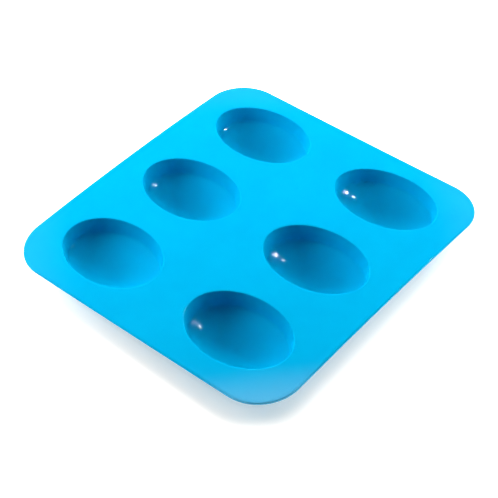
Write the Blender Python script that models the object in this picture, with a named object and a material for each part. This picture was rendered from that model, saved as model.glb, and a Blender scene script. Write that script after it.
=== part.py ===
"""Six-cavity silicone soap mould: a thin flat deck with six oval cavities hanging under it.

Each cavity is a drafted oval wall that turns in at a heel, and a domed floor with a flat foot. The
mould stands on its six feet, and each floor can be pushed up through its wall to free the soap.
The long axis of the ovals runs along X, the rows follow each other along Y, and the origin is on
the ground under the middle of the deck. Every length is in metres.
"""

import math

import bmesh
import bpy

# Deck
DECK_WIDTH = 0.236
DECK_LENGTH = 0.252
DECK_CORNER_RADIUS = 0.0315
DECK_THICKNESS = 0.0020
DECK_EDGE_ROUND = 0.0007

# Cavities, measured inside at the deck's top face
CAVITY_LONG = 0.080
CAVITY_SHORT = 0.057
LIP_ROUND = 0.0006

# The cavities spread over the deck, with margins this many times as wide as the webs between them
COLUMNS = 2
ROWS = 3
MARGIN_PER_WEB_X = 0.62
MARGIN_PER_WEB_Y = 0.69

# Walls and floors
WALL_HEIGHT = 0.0120
WALL_DRAFT = math.radians(11)
HEEL_WIDTH = 0.0030
DOME_DEPTH = 0.0110
SKIN_THICKNESS = 0.0020
FOOT_LONG = 0.0260

# Kept between the pieces wherever one ends against another
SEAM_GAP = 0.0003

# How finely the curves are divided
OVAL_SEGMENTS = 40
CORNER_SEGMENTS = 8
EDGE_SEGMENTS = 3
DOME_RINGS = 5

CUTTER_OVERSHOOT = 0.0010
SILICONE_BLUE = (0.0, 0.33, 0.78, 1.0)

# Heights that follow from the sizes above
CREASE_Z = SKIN_THICKNESS + DOME_DEPTH
DECK_TOP_Z = CREASE_Z + WALL_HEIGHT
WALL_TOP_Z = DECK_TOP_Z - DECK_THICKNESS - SEAM_GAP


def clear_scene():
    for obj in list(bpy.data.objects):
        bpy.data.objects.remove(obj)


def silicone(name, roughness):
    """The blue silicone, as one named material."""
    material = bpy.data.materials.new(name)
    material.use_nodes = True
    shader = material.node_tree.nodes["Principled BSDF"]
    shader.inputs["Base Color"].default_value = SILICONE_BLUE
    shader.inputs["Roughness"].default_value = roughness
    shader.inputs["Metallic"].default_value = 0.0
    return material


def oval(half_long, half_short, z):
    """One ring of points around an upright oval."""
    turns = [2 * math.pi * i / OVAL_SEGMENTS for i in range(OVAL_SEGMENTS)]
    return [(half_long * math.cos(t), half_short * math.sin(t), z) for t in turns]


def rounded_rectangle(inset, z):
    """One ring of points around the deck's outline, this far inside it."""
    radius = DECK_CORNER_RADIUS - inset
    centre_x = DECK_WIDTH / 2 - DECK_CORNER_RADIUS
    centre_y = DECK_LENGTH / 2 - DECK_CORNER_RADIUS
    points = []
    for quarter, (side_x, side_y) in enumerate([(1, 1), (-1, 1), (-1, -1), (1, -1)]):
        for step in range(CORNER_SEGMENTS + 1):
            angle = math.pi / 2 * (quarter + step / CORNER_SEGMENTS)
            x = side_x * centre_x + radius * math.cos(angle)
            y = side_y * centre_y + radius * math.sin(angle)
            points.append((x, y, z))
    return points


def loft(name, rings, material, ends_meet=False):
    """A solid skinned over rings of equally many points, closed by flat ends or back on itself."""
    bm = bmesh.new()
    loops = [[bm.verts.new(point) for point in ring] for ring in rings]
    pairs = list(zip(loops, loops[1:]))
    if ends_meet:
        pairs.append((loops[-1], loops[0]))
    else:
        bm.faces.new(loops[0])
        bm.faces.new(loops[-1])
    for lower, upper in pairs:
        for i in range(len(lower)):
            j = (i + 1) % len(lower)
            bm.faces.new((lower[i], lower[j], upper[j], upper[i]))
    bmesh.ops.recalc_face_normals(bm, faces=bm.faces)
    mesh = bpy.data.meshes.new(name)
    bm.to_mesh(mesh)
    bm.free()
    mesh.shade_smooth()
    mesh.set_sharp_from_angle(angle=math.radians(35))
    mesh.materials.append(material)
    obj = bpy.data.objects.new(name, mesh)
    bpy.context.scene.collection.objects.link(obj)
    return obj


def cavity_half_axes(depth):
    """The cavity's inner half axes this far below the deck's top face."""
    inset = depth * math.tan(WALL_DRAFT)
    return CAVITY_LONG / 2 - inset, CAVITY_SHORT / 2 - inset


CREASE_HALF_LONG, CREASE_HALF_SHORT = cavity_half_axes(WALL_HEIGHT)
OUTER_HALF_LONG = CREASE_HALF_LONG + SKIN_THICKNESS
OUTER_HALF_SHORT = CREASE_HALF_SHORT + SKIN_THICKNESS
FOOT_SHARE = FOOT_LONG / 2 / OUTER_HALF_LONG
HEEL_SHARE = 1 - HEEL_WIDTH / CREASE_HALF_SHORT
SEAM_HALF_LONG = CREASE_HALF_LONG * HEEL_SHARE
SEAM_HALF_SHORT = CREASE_HALF_SHORT * HEEL_SHARE


def inner_dome_ring(share):
    """A ring on the dome's inside: share 0 is its middle and 1 is the crease."""
    z = SKIN_THICKNESS + DOME_DEPTH * share**2
    return oval(CREASE_HALF_LONG * share, CREASE_HALF_SHORT * share, z)


def outer_dome_ring(share):
    """A ring on the dome's underside: its foot is flat, and share 1 is under the crease."""
    rise = (share**2 - FOOT_SHARE**2) / (1 - FOOT_SHARE**2)
    return oval(OUTER_HALF_LONG * share, OUTER_HALF_SHORT * share, CREASE_Z * max(0.0, rise))


def outer_share_at(half_short):
    """The share of the underside's ring whose short half axis is this long."""
    return half_short / OUTER_HALF_SHORT


def spread(start, end, count):
    """This many even steps from start to end, both included."""
    return [start + (end - start) * i / (count - 1) for i in range(count)]


def make_wall(name, centre, material):
    """The drafted wall from the deck's underside to the crease, and the heel that turns in from it."""
    top_half_long, top_half_short = cavity_half_axes(DECK_TOP_Z - WALL_TOP_Z)
    heel_outer = outer_share_at(SEAM_HALF_SHORT)
    heel_ring = outer_dome_ring(heel_outer)
    under_heel = oval(SEAM_HALF_LONG, SEAM_HALF_SHORT, heel_ring[0][2])
    rings = [
        oval(top_half_long, top_half_short, WALL_TOP_Z),
        inner_dome_ring(1.0),
        inner_dome_ring((1 + HEEL_SHARE) / 2),
        inner_dome_ring(HEEL_SHARE),
        under_heel,
        outer_dome_ring((1 + heel_outer) / 2),
        outer_dome_ring(1.0),
        oval(top_half_long + SKIN_THICKNESS, top_half_short + SKIN_THICKNESS, WALL_TOP_Z),
    ]
    wall = loft(name, rings, material, ends_meet=True)
    wall.location = centre
    return wall


def make_floor(name, centre, material):
    """The dome inside the heel, with its flat foot. It slides up through the wall, along Z."""
    rim_long = SEAM_HALF_LONG - SEAM_GAP
    rim_short = SEAM_HALF_SHORT - SEAM_GAP
    rim_share = rim_short / CREASE_HALF_SHORT
    shares = spread(0.0, rim_share, DOME_RINGS + 1)[1:-1]
    inside = [inner_dome_ring(share) for share in shares]
    rim_top = oval(rim_long, rim_short, SKIN_THICKNESS + DOME_DEPTH * rim_share**2)
    under_share = outer_share_at(rim_short)
    rim_bottom = oval(rim_long, rim_short, outer_dome_ring(under_share)[0][2])
    steps = spread(under_share, FOOT_SHARE, DOME_RINGS - 1)[1:]
    outside = [outer_dome_ring(share) for share in steps]
    floor = loft(name, [*inside, rim_top, rim_bottom, *outside], material)
    floor.location = centre
    return floor


def make_cutter(name, centre, material):
    """The shape of one mouth: the cavity's drafted sides, rounded over at the lip."""
    low_depth = DECK_THICKNESS + CUTTER_OVERSHOOT
    rings = [oval(*cavity_half_axes(low_depth), DECK_TOP_Z - low_depth)]
    half_long, half_short = cavity_half_axes(LIP_ROUND)
    for step in range(EDGE_SEGMENTS + 1):
        angle = math.pi / 2 * step / EDGE_SEGMENTS
        flare = LIP_ROUND * (1 - math.cos(angle))
        z = DECK_TOP_Z - LIP_ROUND + LIP_ROUND * math.sin(angle)
        rings.append(oval(half_long + flare, half_short + flare, z))
    above = DECK_TOP_Z + CUTTER_OVERSHOOT
    rings.append(oval(half_long + LIP_ROUND, half_short + LIP_ROUND, above))
    cutter = loft(name, rings, material)
    cutter.location = centre
    cutter.hide_render = True
    cutter.display_type = "WIRE"
    return cutter


def deck_edge_rings():
    """Rings up the deck's side, rounded over at its bottom and top edges."""
    arc = spread(0.0, math.pi / 2, EDGE_SEGMENTS + 1)
    bottom_z = DECK_TOP_Z - DECK_THICKNESS
    rings = []
    for angle in reversed(arc):
        inset = DECK_EDGE_ROUND * (1 - math.cos(angle))
        rings.append(rounded_rectangle(inset, bottom_z + DECK_EDGE_ROUND * (1 - math.sin(angle))))
    for angle in arc:
        inset = DECK_EDGE_ROUND * (1 - math.cos(angle))
        rings.append(rounded_rectangle(inset, DECK_TOP_Z - DECK_EDGE_ROUND * (1 - math.sin(angle))))
    return rings


def make_deck(centres, material):
    """The thin sheet with rounded edges, and a mouth cut through it for each cavity."""
    deck = loft("deck", deck_edge_rings(), material)
    for number, centre in enumerate(centres, start=1):
        cut = deck.modifiers.new(f"mouth_{number}", "BOOLEAN")
        cut.operation = "DIFFERENCE"
        cut.solver = "EXACT"
        cut.object = make_cutter(f"mouth_{number}_cutter", centre, material)
    return deck


def cavity_pitch(deck_size, cavity_size, count, margin_per_web):
    """From one cavity's middle to the next, where webs and margins share what the cavities leave."""
    spare = deck_size - count * cavity_size
    return cavity_size + spare / (count - 1 + 2 * margin_per_web)


def cavity_centres():
    """The middle of each cavity on the ground, row by row."""
    pitch_x = cavity_pitch(DECK_WIDTH, CAVITY_LONG, COLUMNS, MARGIN_PER_WEB_X)
    pitch_y = cavity_pitch(DECK_LENGTH, CAVITY_SHORT, ROWS, MARGIN_PER_WEB_Y)
    centres = []
    for row in range(ROWS):
        for column in range(COLUMNS):
            x = pitch_x * (column - (COLUMNS - 1) / 2)
            y = pitch_y * (row - (ROWS - 1) / 2)
            centres.append((x, y, 0.0))
    return centres


def main():
    clear_scene()
    deck_silicone = silicone("deck_silicone", 0.40)
    wall_silicone = silicone("wall_silicone", 0.30)
    floor_silicone = silicone("floor_silicone", 0.30)
    centres = cavity_centres()
    make_deck(centres, deck_silicone)
    for number, centre in enumerate(centres, start=1):
        make_wall(f"cup_{number}_wall", centre, wall_silicone)
        make_floor(f"cup_{number}_floor", centre, floor_silicone)


main()
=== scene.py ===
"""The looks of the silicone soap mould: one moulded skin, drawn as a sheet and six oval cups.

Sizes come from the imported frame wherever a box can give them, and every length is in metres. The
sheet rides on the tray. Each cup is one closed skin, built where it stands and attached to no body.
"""

import math

import bmesh
import bpy
import numpy as np
from mathutils import Matrix, Vector


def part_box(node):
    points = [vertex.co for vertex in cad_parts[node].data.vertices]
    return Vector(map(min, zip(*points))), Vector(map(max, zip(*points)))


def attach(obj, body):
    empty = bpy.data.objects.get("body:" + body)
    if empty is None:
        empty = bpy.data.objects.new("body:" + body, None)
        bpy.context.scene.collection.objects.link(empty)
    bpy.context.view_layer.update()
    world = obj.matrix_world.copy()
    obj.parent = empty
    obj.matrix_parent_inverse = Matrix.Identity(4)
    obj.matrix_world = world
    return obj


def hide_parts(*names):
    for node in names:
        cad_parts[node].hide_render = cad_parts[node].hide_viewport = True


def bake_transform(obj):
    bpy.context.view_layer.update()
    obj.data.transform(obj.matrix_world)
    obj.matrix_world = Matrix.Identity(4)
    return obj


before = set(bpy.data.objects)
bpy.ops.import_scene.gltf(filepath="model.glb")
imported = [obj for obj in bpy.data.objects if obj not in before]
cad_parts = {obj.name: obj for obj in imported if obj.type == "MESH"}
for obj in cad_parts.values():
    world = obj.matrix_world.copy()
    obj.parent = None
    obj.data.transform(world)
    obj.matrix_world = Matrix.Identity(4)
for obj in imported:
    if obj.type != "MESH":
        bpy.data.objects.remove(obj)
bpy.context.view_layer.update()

# Shape of the moulding that the frame's boxes don't show
CORNER_RADIUS = 0.0315
SKIN = 0.0020
DRAFT = math.radians(11)
LIP_RADIUS = 0.0006
CREASE_FILLET = 0.0013
OUTER_FILLET = 0.0035
FOOT_FILLET = 0.0020
DOME_DEPTH = 0.0110
FOOT_LONG = 0.0260
HEEL_BLEND = 0.0030

# How the soft sheet sits: its two ends droop, and it is twisted a little
END_DROOP = 0.0038
SIDE_RISE = 0.0006
CORNER_TWIST = 0.0020

# The silicone: its gloss and translucency, its faint mottle, and the dust in its surface
SILICONE_IOR = 1.41
COAT_WEIGHT = 0.60
COAT_ROUGHNESS = 0.03
SUBSURFACE_WEIGHT = 0.30
SUBSURFACE_RADIUS = (0.4, 1.0, 0.9)
SUBSURFACE_SCALE = 0.0012
MOTTLE = {"Scale": 28.0, "Detail": 4.0, "Roughness": 0.6}
MOTTLE_STOPS = ((0.3, (0.0, 0.348, 0.632, 1.0)), (0.7, (0.0, 0.372, 0.662, 1.0)))
DUST = {"Scale": 900.0, "Detail": 3.0, "Roughness": 0.7}
DUST_ROUGHNESS = (0.34, 0.50)
DUST_BUMP = {"Strength": 0.06, "Distance": 0.0002}

# Painted sheen: a pale veil in the colour, standing in for light on the sheet's thin corners,
# from one distance from the middle to another: a little on all of them, and most on one
SHEEN_START = 0.128
SHEEN_END = 0.162
CORNER_SHEEN = 0.014
NEAR_CORNER_SHEEN = 0.13
SHEEN_CORNER_DIRECTION = (0.7071, -0.7071, 0.0)
SHEEN_COLOUR = (0.60, 0.72, 0.80, 1.0)

# How finely the skins are divided
OVAL_STEPS = 160
SHEET_RINGS = 14
ARC_STEPS = 8
WALL_STEPS = 10
DOME_STEPS = 26

# How the meshes are finished, and how near two places count as one
WELD_DISTANCE = 1e-6
SHARP_ANGLE = math.radians(50)
SAME_PLACE = 1e-7
PLACE_DIGITS = 6

# Sockets of a Mix node that mixes colours
MIX_FACTOR, MIX_FIRST, MIX_SECOND, MIX_RESULT = 0, 6, 7, 2

# The frame's boxes
SHEET_LOW, SHEET_HIGH = (Vector(corner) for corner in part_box("deck"))
SHEET_TOP = SHEET_HIGH.z
SHEET_THICKNESS = SHEET_HIGH.z - SHEET_LOW.z
SHEET_UNDERSIDE = SHEET_TOP - SHEET_THICKNESS
EDGE_RADIUS = SHEET_THICKNESS / 2
HALF_WIDTH = SHEET_HIGH.x
HALF_LENGTH = SHEET_HIGH.y
CUPS = sorted(name[: -len("_wall")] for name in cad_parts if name.endswith("_wall"))


def settle(points):
    """The points of the flat model, moved as the soft sheet sits. The feet stay on the ground."""
    x, y, z = points[:, 0] / HALF_WIDTH, points[:, 1] / HALF_LENGTH, points[:, 2]
    lift = SIDE_RISE * x**2 - END_DROOP * y**2 - CORNER_TWIST * x * y
    moved = points.copy()
    moved[:, 2] += lift * np.clip(z / SHEET_TOP, 0.0, 1.0)
    return moved


def object_from(name, points, faces):
    """A smooth closed mesh from points and faces, settled, welded and facing outwards."""
    mesh = bpy.data.meshes.new(name)
    mesh.from_pydata(settle(np.asarray(points, float)).tolist(), [], faces)
    bm = bmesh.new()
    bm.from_mesh(mesh)
    bmesh.ops.remove_doubles(bm, verts=bm.verts, dist=WELD_DISTANCE)
    bmesh.ops.recalc_face_normals(bm, faces=bm.faces)
    bm.to_mesh(mesh)
    bm.free()
    mesh.shade_smooth()
    mesh.set_sharp_from_angle(angle=SHARP_ANGLE)
    piece = bpy.data.objects.new(name, mesh)
    bpy.context.scene.collection.objects.link(piece)
    return piece


def grid_faces(rows, columns, first=0, wrap=True):
    """Quads over a grid of points stored row by row, each row closed on itself if wrap is set."""
    faces = []
    for row in range(rows - 1):
        low, high = first + row * columns, first + (row + 1) * columns
        for i in range(columns if wrap else columns - 1):
            j = (i + 1) % columns
            faces.append((low + i, low + j, high + j, high + i))
    return faces


def bezier(start, corner, end, steps):
    """A round turn from start to end that leaves and arrives along the lines to corner."""
    t = np.linspace(0.0, 1.0, steps + 1)[:, None]
    start, corner, end = np.array(start), np.array(corner), np.array(end)
    return (1 - t) ** 2 * start + 2 * t * (1 - t) * corner + t**2 * end


class Cup:
    """The sizes of one cup, and its rings, each told by its height and its short half axis."""

    def __init__(self, name):
        self.name = name
        low, high = (Vector(corner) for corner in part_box(f"{name}_wall"))
        self.x, self.y = (low.x + high.x) / 2, (low.y + high.y) / 2
        drop = (SHEET_TOP - high.z) * math.tan(DRAFT)
        self.mouth_short = (high.y - low.y) / 2 - SKIN + drop
        self.extra_long = (high.x - low.x) / 2 - (high.y - low.y) / 2
        self.crease_z = SKIN + DOME_DEPTH
        self.crease_short = self.mouth_short - (SHEET_TOP - self.crease_z) * math.tan(DRAFT)

    def ring(self, short, z, corner_short):
        """An oval ring, this wide along its short half axis.

        Beyond corner_short the rings lie evenly outside each other, and inside it they keep one
        shape and shrink, with a smooth change from one to the other.
        """
        corner_long = corner_short + self.extra_long
        inner = corner_short - HEEL_BLEND
        scale = (corner_long - HEEL_BLEND / 2) / (inner + HEEL_BLEND / 2)
        if short >= corner_short:
            long = short + self.extra_long
        elif short <= inner:
            long = short * scale
        else:
            t = (short - inner) / HEEL_BLEND
            long = scale * inner + HEEL_BLEND * (scale * t - (scale - 1) * t**2 / 2)
        turns = np.linspace(0.0, 2 * math.pi, OVAL_STEPS, endpoint=False)
        x = self.x + long * np.cos(turns)
        y = self.y + short * np.sin(turns)
        return np.column_stack((x, y, np.full(OVAL_STEPS, z)))

    def wall_short(self, z):
        """The short half axis of the wall's inside at this height."""
        return self.mouth_short - (SHEET_TOP - z) * math.tan(DRAFT)

    def inside(self):
        """(short half axis, height) down the inside, from the sheet's underside to the middle."""
        fillet_top = self.crease_z + CREASE_FILLET
        above = (self.wall_short(fillet_top), fillet_top)
        crease = (self.crease_short, self.crease_z)
        slope = 2 * DOME_DEPTH / self.crease_short
        reach = CREASE_FILLET * math.cos(math.atan(slope))
        start = self.crease_short - reach
        below = (start, SKIN + DOME_DEPTH * (start / self.crease_short) ** 2)
        heights = np.linspace(SHEET_UNDERSIDE, fillet_top, WALL_STEPS)
        wall = [(self.wall_short(z), z) for z in heights]
        turn = bezier(above, crease, below, ARC_STEPS).tolist()
        dome = []
        for r in np.linspace(start, 0.0, DOME_STEPS)[1:-1]:
            dome.append((r, SKIN + DOME_DEPTH * (r / self.crease_short) ** 2))
        return wall + turn[1:] + dome

    def outside(self):
        """(short half axis, height) up the outside, from the foot to the sheet's underside."""
        corner_short = self.crease_short + SKIN
        corner_long = corner_short + self.extra_long
        foot_share = FOOT_LONG / 2 / corner_long
        foot = foot_share * corner_short

        def height(r):
            share = r / corner_short
            return self.crease_z * (share**2 - foot_share**2) / (1 - foot_share**2)

        flat_end = foot - FOOT_FILLET
        rise_start = foot + FOOT_FILLET
        foot_end = (rise_start, height(rise_start))
        foot_turn = bezier((flat_end, 0.0), (foot, 0.0), foot_end, ARC_STEPS)
        wall_start_z = self.crease_z + OUTER_FILLET
        wall_start = (self.wall_short(wall_start_z) + SKIN, wall_start_z)
        dome_end = corner_short - OUTER_FILLET
        dome = [(r, height(r)) for r in np.linspace(rise_start, dome_end, WALL_STEPS)]
        corner = (corner_short, self.crease_z)
        turn = bezier((dome_end, height(dome_end)), corner, wall_start, ARC_STEPS)
        heights = np.linspace(wall_start_z, SHEET_UNDERSIDE, WALL_STEPS)
        wall = [(self.wall_short(z) + SKIN, z) for z in heights]
        return foot_turn.tolist() + dome[1:] + turn.tolist()[1:] + wall[1:]


def make_cup(cup):
    """The closed skin of one cup: down its inside, and back up its outside to the sheet."""
    inside, outside = cup.inside(), cup.outside()
    rings = [cup.ring(short, z, cup.crease_short) for short, z in inside]
    outer_corner = cup.crease_short + SKIN
    under = [cup.ring(short, z, outer_corner) for short, z in outside]
    points = np.vstack([*rings, *under])
    faces = grid_faces(len(rings), OVAL_STEPS)
    faces += grid_faces(len(under), OVAL_STEPS, first=len(rings) * OVAL_STEPS)
    last_ring = (len(rings) - 1) * OVAL_STEPS
    first_under = len(rings) * OVAL_STEPS
    top_outer = len(points) - OVAL_STEPS
    middle = len(points)
    points = np.vstack([points, [[cup.x, cup.y, SKIN], [cup.x, cup.y, 0.0]]])
    for i in range(OVAL_STEPS):
        j = (i + 1) % OVAL_STEPS
        faces.append((last_ring + i, last_ring + j, middle))
        faces.append((first_under + j, first_under + i, middle + 1))
        faces.append((i, j, top_outer + j, top_outer + i))
    return object_from(f"{cup.name}_skin", points, faces)


def cell_of(cup, cups):
    """The rectangle of sheet round one cup, halfway to its neighbours or to the sheet's edge."""
    sides = []
    for axis, half in (("x", HALF_WIDTH - EDGE_RADIUS), ("y", HALF_LENGTH - EDGE_RADIUS)):
        places = sorted({round(getattr(other, axis), PLACE_DIGITS) for other in cups})
        here = round(getattr(cup, axis), PLACE_DIGITS)
        index = places.index(here)
        low = (places[index - 1] + here) / 2 if index > 0 else -half
        high = (places[index + 1] + here) / 2 if index < len(places) - 1 else half
        sides.append((low, high))
    return sides


def border_points(cup, cups, starts):
    """Where rays from the cup's middle through starts leave its cell, or the sheet's corner."""
    (x_low, x_high), (y_low, y_high) = cell_of(cup, cups)
    middle = np.array([cup.x, cup.y])
    rays = starts - middle
    x_side = np.where(rays[:, 0] > 0, x_high, x_low) - cup.x
    y_side = np.where(rays[:, 1] > 0, y_high, y_low) - cup.y
    with np.errstate(divide="ignore"):
        reach = np.minimum(np.abs(x_side / rays[:, 0]), np.abs(y_side / rays[:, 1]))
    border = middle + rays * reach[:, None]
    for corner in ((x_low, y_low), (x_low, y_high), (x_high, y_low), (x_high, y_high)):
        nearest = np.argmin(np.hypot(*(border - corner).T))
        border[nearest] = corner
    radius = CORNER_RADIUS - EDGE_RADIUS
    centre = np.array([HALF_WIDTH - CORNER_RADIUS, HALF_LENGTH - CORNER_RADIUS])
    for i, point in enumerate(border):
        if (np.abs(point) > centre).all():
            pivot = centre * np.sign(point)
            ray = (point - middle) / np.hypot(*(point - middle))
            offset = middle - pivot
            along = offset @ ray
            border[i] = middle + ray * (-along + math.sqrt(along**2 - offset @ offset + radius**2))
    return border


def outline_normal(point):
    """Outwards from the sheet's outline at a point on its inset border, or None elsewhere."""
    centre = np.array([HALF_WIDTH - CORNER_RADIUS, HALF_LENGTH - CORNER_RADIUS])
    beyond = np.abs(point) - centre
    sign = np.sign(point)
    if (beyond > 0).all():
        return beyond / np.hypot(*beyond) * sign
    on_outline = CORNER_RADIUS - EDGE_RADIUS - SAME_PLACE
    if beyond[0] > on_outline:
        return np.array([sign[0], 0.0])
    if beyond[1] > on_outline:
        return np.array([0.0, sign[1]])
    return None


def sheet_cell(cup, cups):
    """Points and faces of the sheet round one cup: mouth, lip, top, outer edge and underside."""
    lip_centre = LIP_RADIUS * (1 - math.sin(DRAFT)) / math.cos(DRAFT)
    rings = [cup.ring(cup.wall_short(SHEET_UNDERSIDE), SHEET_UNDERSIDE, cup.crease_short)]
    for angle in np.linspace(math.pi / 2 - DRAFT, 0.0, ARC_STEPS + 1):
        short = cup.mouth_short + lip_centre - LIP_RADIUS * math.sin(angle)
        z = SHEET_TOP - LIP_RADIUS * (1 - math.cos(angle))
        rings.append(cup.ring(short, z, cup.crease_short))
    lip = rings[-1][:, :2]
    border = border_points(cup, cups, lip)
    for share in np.linspace(0.0, 1.0, SHEET_RINGS + 1)[1:]:
        flat = lip + (border - lip) * share
        rings.append(np.column_stack((flat, np.full(OVAL_STEPS, SHEET_TOP))))
    top_count = len(rings)
    mouth = rings[0][:, :2]
    for share in np.linspace(1.0, 0.0, SHEET_RINGS + 1):
        flat = mouth + (border - mouth) * share
        rings.append(np.column_stack((flat, np.full(OVAL_STEPS, SHEET_UNDERSIDE))))
    points = np.vstack(rings).tolist()
    faces = grid_faces(top_count, OVAL_STEPS)
    faces += grid_faces(SHEET_RINGS + 1, OVAL_STEPS, first=top_count * OVAL_STEPS)
    normals = [outline_normal(point) for point in border]
    for i in range(OVAL_STEPS):
        j = (i + 1) % OVAL_STEPS
        if normals[i] is None or normals[j] is None:
            continue
        first = len(points)
        for angle in np.linspace(0.0, math.pi, 2 * ARC_STEPS + 1):
            z = SHEET_TOP - EDGE_RADIUS * (1 - math.cos(angle))
            for k in (i, j):
                x, y = border[k] + normals[k] * EDGE_RADIUS * math.sin(angle)
                points.append((x, y, z))
        faces += grid_faces(2 * ARC_STEPS + 1, 2, first=first, wrap=False)
    return points, faces


def make_sheet(cups):
    """The whole sheet, with its six mouths and its round edge, as one closed skin."""
    points, faces = [], []
    for cup in cups:
        cell_points, cell_faces = sheet_cell(cup, cups)
        faces += [tuple(i + len(points) for i in face) for face in cell_faces]
        points += cell_points
    return object_from("deck_sheet", points, faces)


def add_node(material, kind, **settings):
    """A shader node, with each setting given to its socket of that name, or else to itself."""
    node = material.node_tree.nodes.new(kind)
    for name, value in settings.items():
        if name in node.inputs:
            node.inputs[name].default_value = value
        else:
            setattr(node, name, value)
    return node


def ramp(material, value, low, high, start, end):
    """A smooth ramp from start to end as the value goes from low to high."""
    node = add_node(material, "ShaderNodeMapRange", interpolation_type="SMOOTHSTEP")
    for name, setting in zip(("From Min", "From Max", "To Min", "To Max"), (low, high, start, end)):
        node.inputs[name].default_value = setting
    material.node_tree.links.new(value, node.inputs["Value"])
    return node.outputs["Result"]


def silicone():
    """Soft blue silicone: translucent, mottled, with painted sheen at its corners, and a thin
    gloss.
    """
    material = bpy.data.materials.new("blue_silicone")
    material.use_nodes = True
    links = material.node_tree.links
    shader = material.node_tree.nodes["Principled BSDF"]
    shader.inputs["Metallic"].default_value = 0.0
    shader.inputs["IOR"].default_value = SILICONE_IOR
    shader.inputs["Specular IOR Level"].default_value = 0.0
    shader.inputs["Coat Weight"].default_value = COAT_WEIGHT
    shader.inputs["Coat Roughness"].default_value = COAT_ROUGHNESS
    shader.inputs["Subsurface Weight"].default_value = SUBSURFACE_WEIGHT
    shader.inputs["Subsurface Radius"].default_value = SUBSURFACE_RADIUS
    shader.inputs["Subsurface Scale"].default_value = SUBSURFACE_SCALE
    place = add_node(material, "ShaderNodeTexCoord")
    mottle = add_node(material, "ShaderNodeTexNoise", **MOTTLE)
    tint = add_node(material, "ShaderNodeValToRGB")
    for stop, (position, blue) in zip(tint.color_ramp.elements, MOTTLE_STOPS):
        stop.position = position
        stop.color = blue
    links.new(place.outputs["Object"], mottle.inputs["Vector"])
    links.new(mottle.outputs["Fac"], tint.inputs["Fac"])
    # Painted sheen: a pale veil mixed into the base colour towards the corners, strongest at one
    # corner.
    apart = add_node(material, "ShaderNodeVectorMath", operation="LENGTH")
    links.new(place.outputs["Object"], apart.inputs[0])
    corners = ramp(material, apart.outputs["Value"], SHEEN_START, SHEEN_END, 0.0, CORNER_SHEEN)
    diagonal = add_node(material, "ShaderNodeVectorMath", operation="DOT_PRODUCT")
    diagonal.inputs[1].default_value = SHEEN_CORNER_DIRECTION
    links.new(place.outputs["Object"], diagonal.inputs[0])
    along = diagonal.outputs["Value"]
    near_sheen = ramp(material, along, SHEEN_START, SHEEN_END, 0.0, NEAR_CORNER_SHEEN)
    painted_sheen = add_node(material, "ShaderNodeMath", operation="MAXIMUM")
    links.new(corners, painted_sheen.inputs[0])
    links.new(near_sheen, painted_sheen.inputs[1])
    colour = add_node(material, "ShaderNodeMix", data_type="RGBA")
    colour.inputs[MIX_SECOND].default_value = SHEEN_COLOUR
    links.new(painted_sheen.outputs["Value"], colour.inputs[MIX_FACTOR])
    links.new(tint.outputs["Color"], colour.inputs[MIX_FIRST])
    links.new(colour.outputs[MIX_RESULT], shader.inputs["Base Color"])
    dust = add_node(material, "ShaderNodeTexNoise", **DUST)
    links.new(place.outputs["Object"], dust.inputs["Vector"])
    matt = ramp(material, dust.outputs["Fac"], 0.0, 1.0, *DUST_ROUGHNESS)
    links.new(matt, shader.inputs["Roughness"])
    grain = add_node(material, "ShaderNodeBump", **DUST_BUMP)
    links.new(dust.outputs["Fac"], grain.inputs["Height"])
    links.new(grain.outputs["Normal"], shader.inputs["Normal"])
    return material


def direction(azimuth, elevation):
    """Outwards from the object, in degrees. Azimuth 0 is towards -Y, and 90 towards +X."""
    a, e = math.radians(azimuth), math.radians(elevation)
    return Vector((math.sin(a) * math.cos(e), -math.cos(a) * math.cos(e), math.sin(e)))


def add_area_light(name, azimuth, elevation, distance, size, power):
    """A square area light that faces the middle of the object, out of the camera's sight."""
    light = bpy.data.lights.new(name, "AREA")
    light.size = size
    light.energy = power
    lamp = bpy.data.objects.new(name, light)
    bpy.context.scene.collection.objects.link(lamp)
    towards = direction(azimuth, elevation)
    lamp.location = towards * distance
    lamp.rotation_mode = "QUATERNION"
    lamp.rotation_quaternion = towards.to_track_quat("Z", "Y")
    lamp.visible_camera = False
    return lamp


# The studio's soft boxes, polarised so that they leave no glare: the azimuth, elevation, distance,
# size and power of each
SOFT_BOXES = {
    "key": (300, 28, 0.65, 0.28, 3.75),
    "back": (210, 28, 2.2, 0.90, 33.0),
    "right": (136, 28, 0.65, 0.28, 1.5),
    "low_right": (120, 12, 0.65, 0.28, 0.6),
    "low_back_right": (150, 12, 0.65, 0.28, 0.95),
    "top": (265, 62, 0.65, 0.28, 1.35),
    "top_right": (120, 62, 2.2, 0.90, 3.5),
    "front_low": (41, 4, 2.0, 0.25, 1.5),
}

# Two low rows of soft boxes round the back, one near and one far: distance, size and power of each
ROW_AZIMUTHS = (180, 210, 240, 270)
ROW_ELEVATION = 12
NEAR_ROW = (0.65, 0.28, 0.92)
FAR_ROW = (2.2, 0.90, 11.1)

# The white room: what it adds to the light, and how bright it looks
ROOM_LIGHT = 0.02
ROOM_SEEN = 1.1

# The paper floor glows, which is painted light: dim under the mould, where the dimness paints its
# shade, and growing from the mould's outline to a distance beyond it. The outline is taken a little
# off the middle, because the shadow falls to one side.
FLOOR_SIDE = 12.0
PAPER_COLOUR = (0.94, 0.86, 0.79, 1.0)
PAPER_ROUGHNESS = 0.9
GLOW_NEAR = 0.30
GLOW_FAR = 1.3
GLOW_DISTANCE = 0.024
GLOW_CENTRE = (-0.010, 0.003, 0.0)

# A cluster of bulbs at the back right, which shows only as glints: the azimuth and elevation of its
# middle, and how far each bulb is turned and raised from there
BULB_CLUSTER = (157, 45)
BULB_OFFSETS = [(-5, -4), (-1, 2), (2, -7), (4, -1), (7, 6)]
BULB_DISTANCE = 1.5
BULB_SIZE = 0.04
BULB_POWER = 1.4

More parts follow.
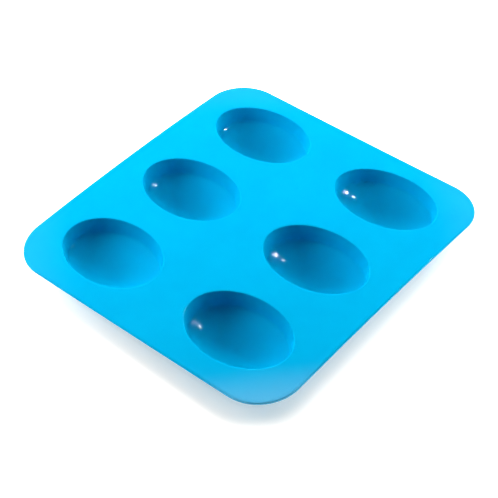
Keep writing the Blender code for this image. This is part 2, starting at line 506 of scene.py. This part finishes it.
# Camera: where it stands as seen from its target on the sheet's top, and how it is tilted
CAMERA_AZIMUTH = 41.37
CAMERA_ELEVATION = 44.31
CAMERA_ROLL = math.radians(-1.74)
CAMERA_DISTANCE = 0.8195
CAMERA_TARGET = Vector((0.0157, -0.0213, SHEET_TOP))
CAMERA_LENS = 86.55
CAMERA_SENSOR = 36.0


def add_camera():
    """The camera, tilted about its own line of sight."""
    data = bpy.data.cameras.new("camera")
    data.sensor_width = CAMERA_SENSOR
    data.lens = CAMERA_LENS
    camera = bpy.data.objects.new("camera", data)
    bpy.context.scene.collection.objects.link(camera)
    back = direction(CAMERA_AZIMUTH, CAMERA_ELEVATION)
    level = (-back).cross(Vector((0.0, 0.0, 1.0))).normalized()
    upright = level.cross(-back)
    right = math.cos(CAMERA_ROLL) * level + math.sin(CAMERA_ROLL) * upright
    up = math.cos(CAMERA_ROLL) * upright - math.sin(CAMERA_ROLL) * level
    turn = Matrix((right, up, back)).transposed().to_4x4()
    camera.matrix_world = Matrix.Translation(CAMERA_TARGET + back * CAMERA_DISTANCE) @ turn
    bpy.context.scene.camera = camera


def add_floor():
    """A plain white sweep of paper under the mould, glowing with painted light beyond it."""
    mesh = bpy.data.meshes.new("floor")
    side = FLOOR_SIDE
    corners = [(-side, -side, 0), (side, -side, 0), (side, side, 0), (-side, side, 0)]
    mesh.from_pydata(corners, [], [(0, 1, 2, 3)])
    floor = bpy.data.objects.new("floor", mesh)
    bpy.context.scene.collection.objects.link(floor)
    paper = bpy.data.materials.new("paper")
    paper.use_nodes = True
    links = paper.node_tree.links
    shader = paper.node_tree.nodes["Principled BSDF"]
    shader.inputs["Base Color"].default_value = PAPER_COLOUR
    shader.inputs["Roughness"].default_value = PAPER_ROUGHNESS
    shader.inputs["Specular IOR Level"].default_value = 0.0
    shader.inputs["Emission Color"].default_value = PAPER_COLOUR
    place = add_node(paper, "ShaderNodeTexCoord")
    shifted = add_node(paper, "ShaderNodeVectorMath", operation="SUBTRACT")
    shifted.inputs[1].default_value = GLOW_CENTRE
    folded = add_node(paper, "ShaderNodeVectorMath", operation="ABSOLUTE")
    beyond = add_node(paper, "ShaderNodeVectorMath", operation="SUBTRACT")
    corner_centre = (HALF_WIDTH - CORNER_RADIUS, HALF_LENGTH - CORNER_RADIUS, 0.0)
    beyond.inputs[1].default_value = corner_centre
    outside = add_node(paper, "ShaderNodeVectorMath", operation="MAXIMUM")
    apart = add_node(paper, "ShaderNodeVectorMath", operation="LENGTH")
    links.new(place.outputs["Object"], shifted.inputs[0])
    links.new(shifted.outputs["Vector"], folded.inputs[0])
    links.new(folded.outputs["Vector"], beyond.inputs[0])
    links.new(beyond.outputs["Vector"], outside.inputs[0])
    links.new(outside.outputs["Vector"], apart.inputs[0])
    start, end = CORNER_RADIUS, CORNER_RADIUS + GLOW_DISTANCE
    # Painted light and shade: the paper's glow is dim near the mould, where its shadow is painted.
    glow = ramp(paper, apart.outputs["Value"], start, end, GLOW_NEAR, GLOW_FAR)
    links.new(glow, shader.inputs["Emission Strength"])
    mesh.materials.append(paper)


def add_world():
    """A white room to look at, dim enough to leave the lighting to the soft boxes."""
    white = (1.0, 1.0, 1.0, 1.0)
    world = bpy.data.worlds.new("studio")
    world.use_nodes = True
    nodes, links = world.node_tree.nodes, world.node_tree.links
    dim = nodes["Background"]
    dim.inputs["Color"].default_value = white
    dim.inputs["Strength"].default_value = ROOM_LIGHT
    bright = nodes.new("ShaderNodeBackground")
    bright.inputs["Color"].default_value = white
    bright.inputs["Strength"].default_value = ROOM_SEEN
    path = nodes.new("ShaderNodeLightPath")
    either = nodes.new("ShaderNodeMixShader")
    links.new(path.outputs["Is Camera Ray"], either.inputs["Fac"])
    links.new(dim.outputs["Background"], either.inputs[1])
    links.new(bright.outputs["Background"], either.inputs[2])
    links.new(either.outputs["Shader"], nodes["World Output"].inputs["Surface"])
    bpy.context.scene.world = world


def add_lights():
    """The soft boxes, the two rows round the back, and the bulbs."""
    boxes = dict(SOFT_BOXES)
    for azimuth in ROW_AZIMUTHS:
        boxes[f"near_{azimuth}"] = (azimuth, ROW_ELEVATION, *NEAR_ROW)
        boxes[f"far_{azimuth}"] = (azimuth, ROW_ELEVATION, *FAR_ROW)
    for name, place in boxes.items():
        add_area_light(name, *place).visible_glossy = False
    for number, (turn, rise) in enumerate(BULB_OFFSETS, start=1):
        azimuth, elevation = BULB_CLUSTER[0] + turn, BULB_CLUSTER[1] + rise
        place = (azimuth, elevation, BULB_DISTANCE, BULB_SIZE, BULB_POWER)
        add_area_light(f"bulb_{number}", *place).visible_diffuse = False


cups = [Cup(name) for name in CUPS]
material = silicone()
sheet = make_sheet(cups)
sheet.data.materials.append(material)
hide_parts("deck")
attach(sheet, "tray")
for cup in cups:
    skin = make_cup(cup)
    skin.data.materials.append(material)
    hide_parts(f"{cup.name}_wall", f"{cup.name}_floor")
    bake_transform(skin)

add_floor()
add_world()
add_lights()
bpy.context.scene.view_settings.view_transform = "Standard"
add_camera()
